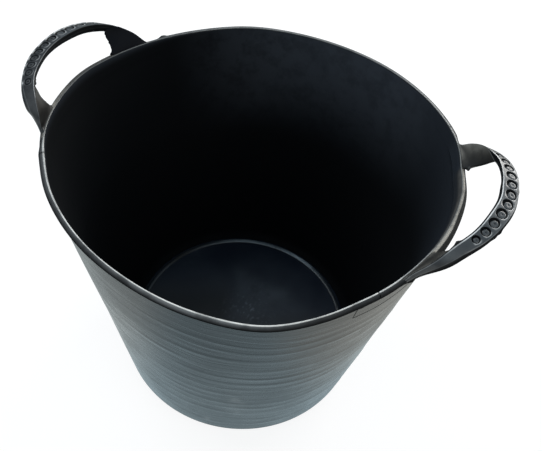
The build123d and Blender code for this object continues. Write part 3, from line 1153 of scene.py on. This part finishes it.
def web_mesh(way, web):
    # The web on one side of the opening: its sheet, bent a little, with an uneven edge and a thickness.
    sheet, wear = web_sheet(way, web)
    a = np.linspace(0, 1, web_columns + 1)[:, None]
    b = np.linspace(0, 1, web_rows + 1)
    down = np.cross(np.gradient(sheet, axis=0), np.gradient(sheet, axis=1)) * way
    down /= np.maximum(np.linalg.norm(down, axis=2), 1e-6)[:, :, None]
    sheet += down * (0.7 * np.sin(pi * b) * (1 - a))[:, :, None]
    for row, high in enumerate(b):
        wobble = uneven(9 * high + 5 * way, web.opening, 0) + 0.7 * uneven(26 * high, web.opening, 3)
        far = web.tongue * max(0, 1 - abs(high - web.tongue_at) / 0.08)
        far += web.ragged * (wobble - 2.0 * bump(high, 0.28, 0.12))
        back = sheet[0, row] - sheet[1, row]
        sheet[0, row] += back / np.linalg.norm(back) * far
    deep = web_thickness * (1 - 0.7 * a)
    deep[0] = 0.8
    thinner = 1 - 0.92 * np.clip((b - 0.55) / 0.45, 0, 1)
    deep = deep * np.where(np.arange(web_columns + 1)[:, None] > 2, thinner, 1)
    points = [*sheet.reshape(-1, 3), *(sheet + down * deep[:, :, None]).reshape(-1, 3)]
    count = len(wear)
    faces = grid_faces(web_columns + 1, web_rows + 1, False)
    faces += [tuple(k + count for k in face) for face in faces]
    edge = [column * (web_rows + 1) + row for row, column in border(web_rows, web_columns)]
    faces += [(k, k + count, n + count, n) for k, n in zip(edge, edge[1:] + edge[:1])]
    return points, faces, wear + [0.0] * count


# The second, fourth and fifth looks are darker, duller copies of the plastic for painted shade.
handle_looks = {  # plain, dusty and rubbed colour, then roughness, shine and scuffs
    "handle_skin": (held_dark, held_dusty, held_rubbed_and_highlight, 0.30, 0.5, 0.45),
    "handle_edge_shaded": (edge_shaded_dark, face_shaded_dusty, edge_rubbed, 0.5, 0.15, 0.4),
    "web_skin": (web_dark, web_dusty, web_rubbed, 0.42, 0.3, 0.4),
    "web_shaded": (shaded_dark, shaded_dusty, shaded_rubbed, 0.5, 0.07, 0.3),
    "handle_dull_shaded": (held_dark, dull_shaded_dusty, held_rubbed_and_highlight, 0.42, 0.1, 0.45)}
handle_finishes = [plastic(name, *look, grain=0.35) for name, look in handle_looks.items()]
for side, name in ((1, "right"), (-1, "left")):
    strap = Strap(side)
    grid = held_face(strap)
    for cell in range(pit_count):
        recess(strap, grid, cell)
    strap_sides(strap, grid)
    for way in (-1, 1):
        finish = shaded_finish if (side, way) == (-1, 1) else web_finish
        strap.sheet(*web_mesh(way, webs[side, way]), finish)
    handle = strap.build(name + "_handle", handle_finishes)
    shape = bmesh.new()
    shape.from_mesh(handle.data)
    bmesh.ops.recalc_face_normals(shape, faces=shape.faces)
    shape.to_mesh(handle.data)
    shape.free()
    nodes = ("_handle_grip", "_handle_root_front", "_handle_root_back")
    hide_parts(*[name + node for node in nodes])
    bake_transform(handle)


# Studio: a plain white floor, soft light from all round, a cool softbox on the left, warmer
# ones on the right and behind, and the camera where the photograph was taken from.
floor_reach = 6  # metres here and below
floor_grey = (0.86, 0.86, 0.86, 1)
white = (1, 1, 1, 1)
air_blue = (0.72, 0.88, 1.0, 1)
reflected_tints = [  # of the floor as the plastic mirrors it: in the middle, left and right
    (0.78, 1.0, 1.10, 1), (0.90, 1.0, 1.01, 1), (0.98, 1.0, 0.94, 1)]
softboxes = {  # place, size, power and colour
    "softbox_left": ((-1.3, 0.2, 1.8), (1.4, 1.1), 16, (0.94, 0.97, 1.0)),
    "softbox_right": ((1.5, -0.8, 1.4), (1.4, 1.1), 8, (1.0, 0.95, 0.87)),
    "softbox_back": ((0.95, 2.1, 1.0), (1.8, 1.0), 36, (1.0, 0.98, 0.95))}
lit_place = (0, 0, 0.2)  # the softboxes point here
camera_place = (0.15825, -0.45959, 0.79075)
camera_turn = (39.3311, -5.1058, 22.7565)  # degrees
camera_lens = 47.48

floor_mesh = bpy.data.meshes.new("studio_floor")
corners = [(-1, -1), (1, -1), (1, 1), (-1, 1)]
floor_mesh.from_pydata([(floor_reach * x, floor_reach * y, 0) for x, y in corners], [], [(0, 1, 2, 3)])
floor = bpy.data.objects.new("studio_floor", floor_mesh)
scene.collection.objects.link(floor)
floor_paint = bpy.data.materials.new("studio_white")
floor_paint.use_nodes = True
tree = floor_paint.node_tree
tree.nodes.remove(tree.nodes["Principled BSDF"])
matt = put(tree, "BsdfDiffuse", {"Color": floor_grey})[0]
glow = put(tree, "Emission", {"Color": white, "Strength": 1.2})[0]
ray = put(tree, "LightPath", {})
straight = reckon(tree, "MAXIMUM", ray["Is Camera Ray"], ray["Is Transmission Ray"])
lit = put(tree, "MixShader", {0: scaled(tree, straight, 0.7), 1: matt, 2: glow})[0]
place = put(tree, "NewGeometry", {})["Position"]
to_right = put(tree, "SeparateXYZ", {0: place})[0]
far_left, far_right = ramp(tree, to_right, -0.04, -0.17), ramp(tree, to_right, 0.12, 0.25)
tint = mix_colours(tree, far_left, reflected_tints[0], reflected_tints[1])
tint = mix_colours(tree, far_right, tint, reflected_tints[2])
# In mirrors the floor is a glow, dimmer near the tub as a painted shadow, and brighter at the sides.
away = put(tree, "VectorMath", {0: place}, operation="LENGTH")["Value"]
strength = scaled(tree, ramp(tree, away, 0.14, 0.26), -0.25, 0.72)
strength = scaled(tree, ramp(tree, away, 0.3, 0.65), -0.2, strength)
sides = scaled(tree, reckon(tree, "MAXIMUM", far_left, far_right), 0.37, 1.0)
strength = scaled(tree, strength, sides)
reflected = put(tree, "Emission", {"Color": tint, "Strength": strength})[0]
lit = put(tree, "MixShader", {0: ray["Is Glossy Ray"], 1: lit, 2: reflected})[0]
tree.links.new(lit, tree.nodes["Material Output"].inputs["Surface"])
floor_mesh.materials.append(floor_paint)

world = bpy.data.worlds.new("studio_air")
world.use_nodes = True
tree = world.node_tree
air = tree.nodes["Background"]
ray = put(tree, "LightPath", {})
mirrored = reckon(tree, "MAXIMUM", ray["Is Glossy Ray"], ray["Is Transmission Ray"])
backdrop = ray["Is Camera Ray"]
tree.links.new(mix_colours(tree, backdrop, air_blue, white), air.inputs["Color"])
height = put(tree, "SeparateXYZ", {0: put(tree, "TexCoord", {})["Generated"]})[2]
overhead = scaled(tree, ramp(tree, height, 0.12, 0.65), 0.87, -0.22)
strength = scaled(tree, mirrored, overhead, 0.45)
tree.links.new(scaled(tree, backdrop, 0.53, strength), air.inputs["Strength"])
scene.world = world

for name, (place, size, power, colour) in softboxes.items():
    lamp = bpy.data.lights.new(name, "AREA")
    lamp.shape = "RECTANGLE"
    lamp.size, lamp.size_y = size
    lamp.energy = power
    lamp.color = colour
    box = bpy.data.objects.new(name, lamp)
    scene.collection.objects.link(box)
    box.location = place
    box.rotation_euler = (Vector(lit_place) - Vector(place)).to_track_quat("-Z", "Y").to_euler()

camera_data = bpy.data.cameras.new("camera")
camera_data.lens = camera_lens
camera_data.sensor_width = 36
camera = bpy.data.objects.new("camera", camera_data)
scene.collection.objects.link(camera)
camera.location = camera_place
camera.rotation_euler = [radians(turn) for turn in camera_turn]
scene.camera = camera
scene.view_settings.view_transform = "Standard"
